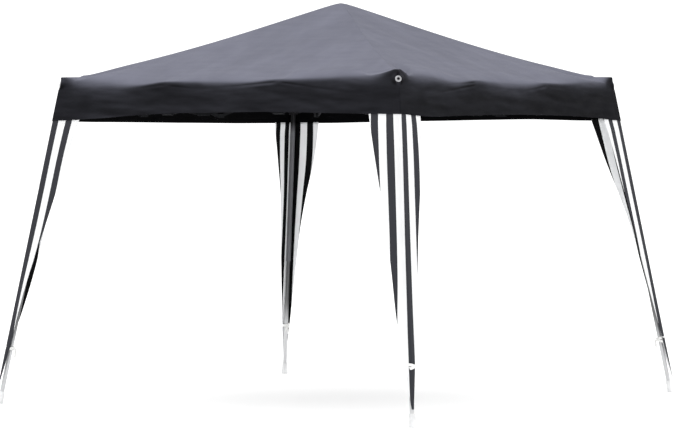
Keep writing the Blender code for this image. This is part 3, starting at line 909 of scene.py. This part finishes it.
# How far the free edges swing out from the tent's sides at even steps from the top of the curtain
# to its foot: the wing before the corner and the one after it, going round the tent to the right.
# Slip is how far the stripes are off the crease at the top, half way and at the foot, and shift how
# far the curtain hangs off the middle of the corner, at its top.
curtainLooks = {
    "front_right": {
        "top": 1.734, "seed": 2.0, "flipped": False, "slip": (0.010, -0.005, -0.014), "shift": 0,
        "before": (0, 0, -0.005, -0.004, 0.006, 0.024, 0.014, 0),
        "after": (0, 0.010, 0.007, 0.004, 0.002, 0, 0, 0),
    },
    "back_right": {
        "top": 1.711, "seed": 9.0, "flipped": True, "slip": (0, 0, 0), "shift": 0,
        "before": (0, 0.008, 0.006, 0.004, 0, 0, 0, 0),
        "after": (0, 0.013, 0.042, 0.055, 0.042, 0.026, 0, 0),
    },
    "back_left": {
        "top": 1.701, "seed": 16.0, "flipped": True, "slip": (-0.012, -0.008, -0.004), "shift": -0.008,
        "before": (0, 0.002, -0.023, -0.034, -0.028, -0.018, -0.006, 0),
        "after": (0, -0.012, -0.026, -0.020, -0.012, -0.006, 0, 0),
    },
    "front_left": {
        "top": 1.713, "seed": 23.0, "flipped": False, "slip": (0, 0, 0), "shift": 0,
        "before": (0, 0, 0, -0.016, -0.032, -0.026, 0, 0),
        "after": (0, 0.012, 0.012, 0.018, 0.028, 0.022, 0.002, 0),
    },
}


def curtainWidth(height):
    return curtain["tip"] + curtain["taper"] * (height - curtain["foot"])


# How far the cloth is off the side of the tent, part way from the crease to the free edge.
def curtainOff(wing, edge, height, swing, look):
    hung = look["top"] - height
    free = between(curtain["tied"], 1, smooth(abs(height - tie["height"]), *curtain["tiedReach"]))
    free *= smooth(hung, *curtain["freeFrom"])
    size, down, growth = curtain["sway"]
    drift = noise.noise(Vector((height * down, wing * 3.0, look["seed"]))) * size * edge ** growth
    size, across, down = curtain["pleats"]
    spot = Vector((wing * edge * curtainWidth(height) * across, height * down, look["seed"] + 5))
    pleated, tucked = curtain["fromCrease"]
    pleat = noise.noise(spot) * size * smooth(edge, 0, pleated)
    tuck = curtain["tuck"] * smooth(edge, 0, tucked) * (1 - smooth(hung, *curtain["tuckEnds"]))
    return swing * edge ** curtain["curl"] + (drift + pleat) * free - tuck


def curtainPoint(part, height, look):
    width = curtainWidth(height)
    crease = legReach(height) + curtain["face"]
    radius = min(curtain["crease"], 0.9 * width)
    arc = radius * pi / 4
    away = part * (width - radius + arc)  # cloth from the crease, negative on the wing before the corner
    wing = 1 if away > 0 else -1
    fallen = (look["top"] - height) / (look["top"] - curtain["foot"])
    swing = throughSteps(look["after" if away > 0 else "before"], fallen)
    flat = max(0.0, abs(away) - arc) * sqrt(1 - (swing / width) ** 2)
    off = curtainOff(wing, abs(part), height, swing, look)
    turn = min(max(away / radius, -pi / 4), pi / 4) - pi / 4
    x = crease - radius + (radius + off) * cos(turn) + look["shift"] * (1 - fallen)
    y = radius - crease + (radius + off) * sin(turn)
    point = Vector((x, y + flat, height)) if wing > 0 else Vector((x - flat, y, height))
    return point, away - throughSteps(look["slip"], fallen)


def makeCurtain(name, turn, materials):
    look = curtainLooks[name]
    bm = bmesh.new()
    bmesh.ops.create_grid(bm, x_segments=curtain["columns"], y_segments=curtain["rows"], size=1)
    stripe = bm.verts.layers.float.new("stripe")
    edgeAway = bm.verts.layers.float.new("edgeAway")
    for vert in bm.verts:
        part = vert.co.x
        height = between(curtain["foot"], look["top"], (vert.co.y + 1) / 2)
        vert.co, away = curtainPoint(part, height, look)
        vert[stripe] = -away if look["flipped"] else away
        vert[edgeAway] = (1 - abs(part)) * curtainWidth(height)
    layMetres(bm, lambda vert: (vert[stripe], vert.co.z))
    sheet = finishedSheet(f"{name}_curtain", bm, turn, materials, curtain["thickness"])
    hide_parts(f"{name}_leg_curtain")
    foldWithLeg(sheet, turn)
    drop = look["top"] - curtain["foot"]
    area = (curtain["taper"] * drop + 2 * curtain["tip"]) * drop * hypot(1, tent["lean"])


# A piece that hangs on a leg gets a mesh of its own.
def foldWithLeg(piece, turn):
    reach = legReach(curtain["held"])
    top = quarterTurn(turn) @ Vector((reach, -reach, curtain["held"]))
    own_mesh(piece)


def makeCurtains():
    materials = [stripedCloth("stripedOutside", cloth["stripeBlack"], cloth["outsideThrough"]),
                 stripedCloth("stripedInside", cloth["insideShadedBlack"], cloth["insideThrough"])]
    for turn, name in enumerate(corners):
        makeCurtain(name, turn, materials)


# Ties: a white tape twice round each leg, knotted behind it. On the nearest leg it goes round the
# curtain too, on the others it is inside the curtain.
tie = {
    "height": 0.332,
    "part": 0.0115,  # how far its two turns part from their middle on the wings
    "width": 0.016,
    "thickness": 0.0011,
    "outside": 0.0282,  # from the leg axis, the tape round the nearest leg's curtain,
    "within": 0.0235,  # the tape inside the other curtains,
    "inside": -0.0155,  # the tape behind the leg
    "wingEnd": -0.0130,  # and where it turns inwards from a side of the leg
    "slope": 0.6,  # how far out it leaves the leg's inner sides, as a share of "inside"
    "bend": 0.006,
    "bendSteps": 5,
    "knotPlace": 0.93,  # share of the way to the tape's inner corner
    "knot": (0.0085, 0.0052),  # half height and half depth of the turn round the tape
    "knotBand": (0.006, 0.0024),  # half its width, and its thickness
    "knotSteps": 16,
    "tails": (0.052, 0.040),
    "tailTop": 0.6,  # where they leave the knot, as a share of its half height
    "tailSpread": (0.003, 0.010),  # how far a tail is to the side, at the knot and at its end
    "tailLean": (0.002, -0.002),  # and how far in from the knot's face
    "tailTurn": (0.5, 1.2),
    "tailWidth": 0.42,  # half of it, as a share of the tape's
    "tailSteps": 9,
    "softEdge": 0.0004,
    "colour": (0.76, 0.76, 0.75),
    "clouds": 30,
    "cloudShade": (0.90, 1.04),
    "ribs": (1, (900, 900, 2600)),
    "ribBump": (0.0003, 0.6),
}


def cottonTape():
    finish = Finish("cottonTape", Roughness=0.85, Specular_IOR_Level=0.2)
    place = finish.place()
    cloud = finish.mottle(place, tie["clouds"])
    ribs = finish.mottle(place, *tie["ribs"], detail=2)
    colour = finish.shaded(tie["colour"], finish.vary(cloud, *tie["cloudShade"]))
    return finish.wear(Base_Color=colour, Normal=finish.bump(ribs, *tie["ribBump"]))


# A flat band along a path. Each step is a point, half the width as a vector, and the way out.
def band(bm, steps, thickness, closed=False):
    rings = []
    for point, half, out in steps:
        lift = out.normalized() * thickness
        rings.append([bm.verts.new(spot) for spot in
                      (point - half, point + half, point + half + lift, point - half + lift)])
    for ring, following in zip(rings, rings[1:] + rings[:1] if closed else rings[1:]):
        for number in range(4):
            bm.faces.new((ring[number - 1], ring[number], following[number], following[number - 1]))
    if not closed:
        bm.faces.new(rings[0])
        bm.faces.new(reversed(rings[-1]))


# A closed line through corners, each rounded by a curve that starts at bend from it.
def roundedLoop(loopCorners, bend, steps):
    points = []
    for number, corner in enumerate(loopCorners):
        before = corner + (loopCorners[number - 1] - corner).normalized() * bend
        after = corner + (loopCorners[(number + 1) % len(loopCorners)] - corner).normalized() * bend
        for step in range(steps + 1):
            points.append(rounded(before, corner, after, step / steps))
    return points


def makeTie(name, turn, material):
    reach = legReach(tie["height"])
    centre = Vector((reach, -reach, tie["height"]))
    out = tie["outside"] if name == "front_right" else tie["within"]
    back, end = tie["inside"], tie["wingEnd"]
    slope = -back * tie["slope"]
    plan = [Vector(spot) for spot in
            ((out, out), (end, out), (back, slope), (back, back), (slope, back), (out, end))]
    bm = bmesh.new()
    upwards = Vector((0, 0, 1))
    half = upwards * tie["width"] / 2
    first, last = atan2(end, out), 1.25 * pi  # where they cross: after the corner, and at the knot
    for way, layer in ((1, 0), (-1, tie["thickness"])):
        steps = []
        for spot in roundedLoop(plan, tie["bend"], tie["bendSteps"]):
            turned = (atan2(spot.y, spot.x) - first) % (2 * pi)
            rise = way * tie["part"] * sin(pi * min(turned / (last - first), 1))
            away = Vector((spot.x, -spot.y, 0))
            steps.append((centre + away + away.normalized() * layer + upwards * rise, half, away))
        band(bm, steps, tie["thickness"], closed=True)
    inwards = Vector((-1, 1, 0)).normalized()
    sideways = Vector((1, 1, 0)).normalized()
    knot = centre + Vector((back, -back, 0)) * tie["knotPlace"]
    high, deep = tie["knot"]
    wide, thick = tie["knotBand"]
    turns = [2 * pi * step / tie["knotSteps"] for step in range(tie["knotSteps"])]
    band(bm, [(knot + inwards * deep * cos(angle) + upwards * high * sin(angle), sideways * wide,
               inwards * cos(angle) + upwards * sin(angle)) for angle in turns], thick, closed=True)
    for way, length in zip((-1, 1), tie["tails"]):
        tail = []
        for step in range(tie["tailSteps"] + 1):
            part = step / tie["tailSteps"]
            place = (knot + inwards * (deep + between(*tie["tailLean"], part))
                     + sideways * way * between(*tie["tailSpread"], part)
                     - upwards * (high * tie["tailTop"] + length * part))
            turned = Matrix.Rotation(way * between(*tie["tailTurn"], part), 3, "Z")
            tail.append((place, turned @ sideways * tie["width"] * tie["tailWidth"], turned @ inwards))
        band(bm, tail, tie["thickness"])
    bmesh.ops.recalc_face_normals(bm, faces=bm.faces)
    bmesh.ops.transform(bm, verts=bm.verts, matrix=quarterTurn(turn))
    piece = finished(f"{name}_tie", bm, [material])
    rim = piece.modifiers.new("softEdges", "BEVEL")
    rim.width = tie["softEdge"]
    rim.segments = 2
    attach(piece, tent["topBody"])
    foldWithLeg(piece, turn)


def makeTies():
    material = cottonTape()
    for turn, name in enumerate(corners):
        makeTie(name, turn, material)


# Frame: the solids keep their shapes and get their finishes. Pieces are the ends of their names.
# Painted shade darkens a paint from a height up, where the cover, the curtains or the upper leg
# shade it: from a height, to a height, and the share of its colour at either.
frameLooks = {
    "legPaint": {
        "pieces": ("upper_leg",), "kind": "paint", "gloss": 0.25, "roughness": (0.42, 0.54),
        "colour": (0.165, 0.167, 0.180), "worn": (0.36, 0.36, 0.37), "paintedShadeAbove": (1.62, 1.71, 1.0, 0.05),
    },
    "lowerLegPaint": {
        "pieces": ("lower_leg",), "kind": "paint", "gloss": 0.5, "roughness": (0.30, 0.42),
        "colour": (0.52, 0.525, 0.535), "worn": (0.36, 0.36, 0.37), "paintedShadeAbove": (0.30, 0.52, 1.0, 0.24),
    },
    # The bars' near black is painted shade under the cover. Their paint is the legs' grey, which their
    # scratches show.
    "barShadedPaint": {
        "pieces": ("truss", "centre_pole"), "kind": "paint", "gloss": 0.05, "roughness": (0.74, 0.86),
        "colour": (0.011, 0.0113, 0.013), "worn": (0.165, 0.167, 0.180),
    },
    "blackPlastic": {
        "pieces": ("bracket", "slider", "hub", "pole_cap"), "kind": "plastic", "gloss": 0.15,
        "roughness": (0.55, 0.68), "colour": (0.012, 0.012, 0.0135),
    },
    "footPlastic": {
        "pieces": ("foot",), "kind": "plastic", "gloss": 0.45,
        "roughness": (0.45, 0.58), "colour": (0.66, 0.665, 0.67),
    },
}
hardKinds = {
    "paint": {"clouds": 5, "cloudShade": (0.92, 1.05), "grain": 420, "bump": (0.0004, 0.3)},
    "plastic": {"clouds": 14, "cloudShade": (0.85, 1.15), "grain": 900, "bump": (0.0002, 0.4)},
}
scratched = {
    "streaks": (1, (160, 160, 5)),
    "limits": (0.66, 0.74),
    "share": 0.6,
}


def hardFinish(name, look):
    kind = hardKinds[look["kind"]]
    finish = Finish(name, Specular_IOR_Level=look["gloss"])
    place = finish.place()
    cloud = finish.mottle(place, kind["clouds"])
    grain = finish.mottle(place, kind["grain"], detail=2)
    colour = finish.shaded(look["colour"], finish.vary(cloud, *kind["cloudShade"]))
    if "worn" in look:
        streaks = finish.mottle(place, *scratched["streaks"], roughness=0.7)
        rubbed = finish.ramp(streaks, *scratched["limits"]) * scratched["share"]
        colour = finish.mix(colour, look["worn"], rubbed)
    # Painted shade: darker from a height up.
    if "paintedShadeAbove" in look:
        colour = finish.shaded(colour, finish.ramp(finish.part(place, 2), *look["paintedShadeAbove"]))
    rough = finish.vary(cloud, *look["roughness"])
    return finish.wear(Base_Color=colour, Roughness=rough, Normal=finish.bump(grain, *kind["bump"]))


def dressFrame():
    for name, look in frameLooks.items():
        material = hardFinish(name, look)
        for piece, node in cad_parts.items():
            if piece.endswith(look["pieces"]):
                for slot in node.material_slots:
                    slot.material = material


for made, make in (("studio", makeStudio), ("frame's finishes", dressFrame), ("cover", makeCover),
                   ("grommets", makeGrommets), ("curtains", makeCurtains), ("ties", makeTies)):
    make()
    print("made:", made)
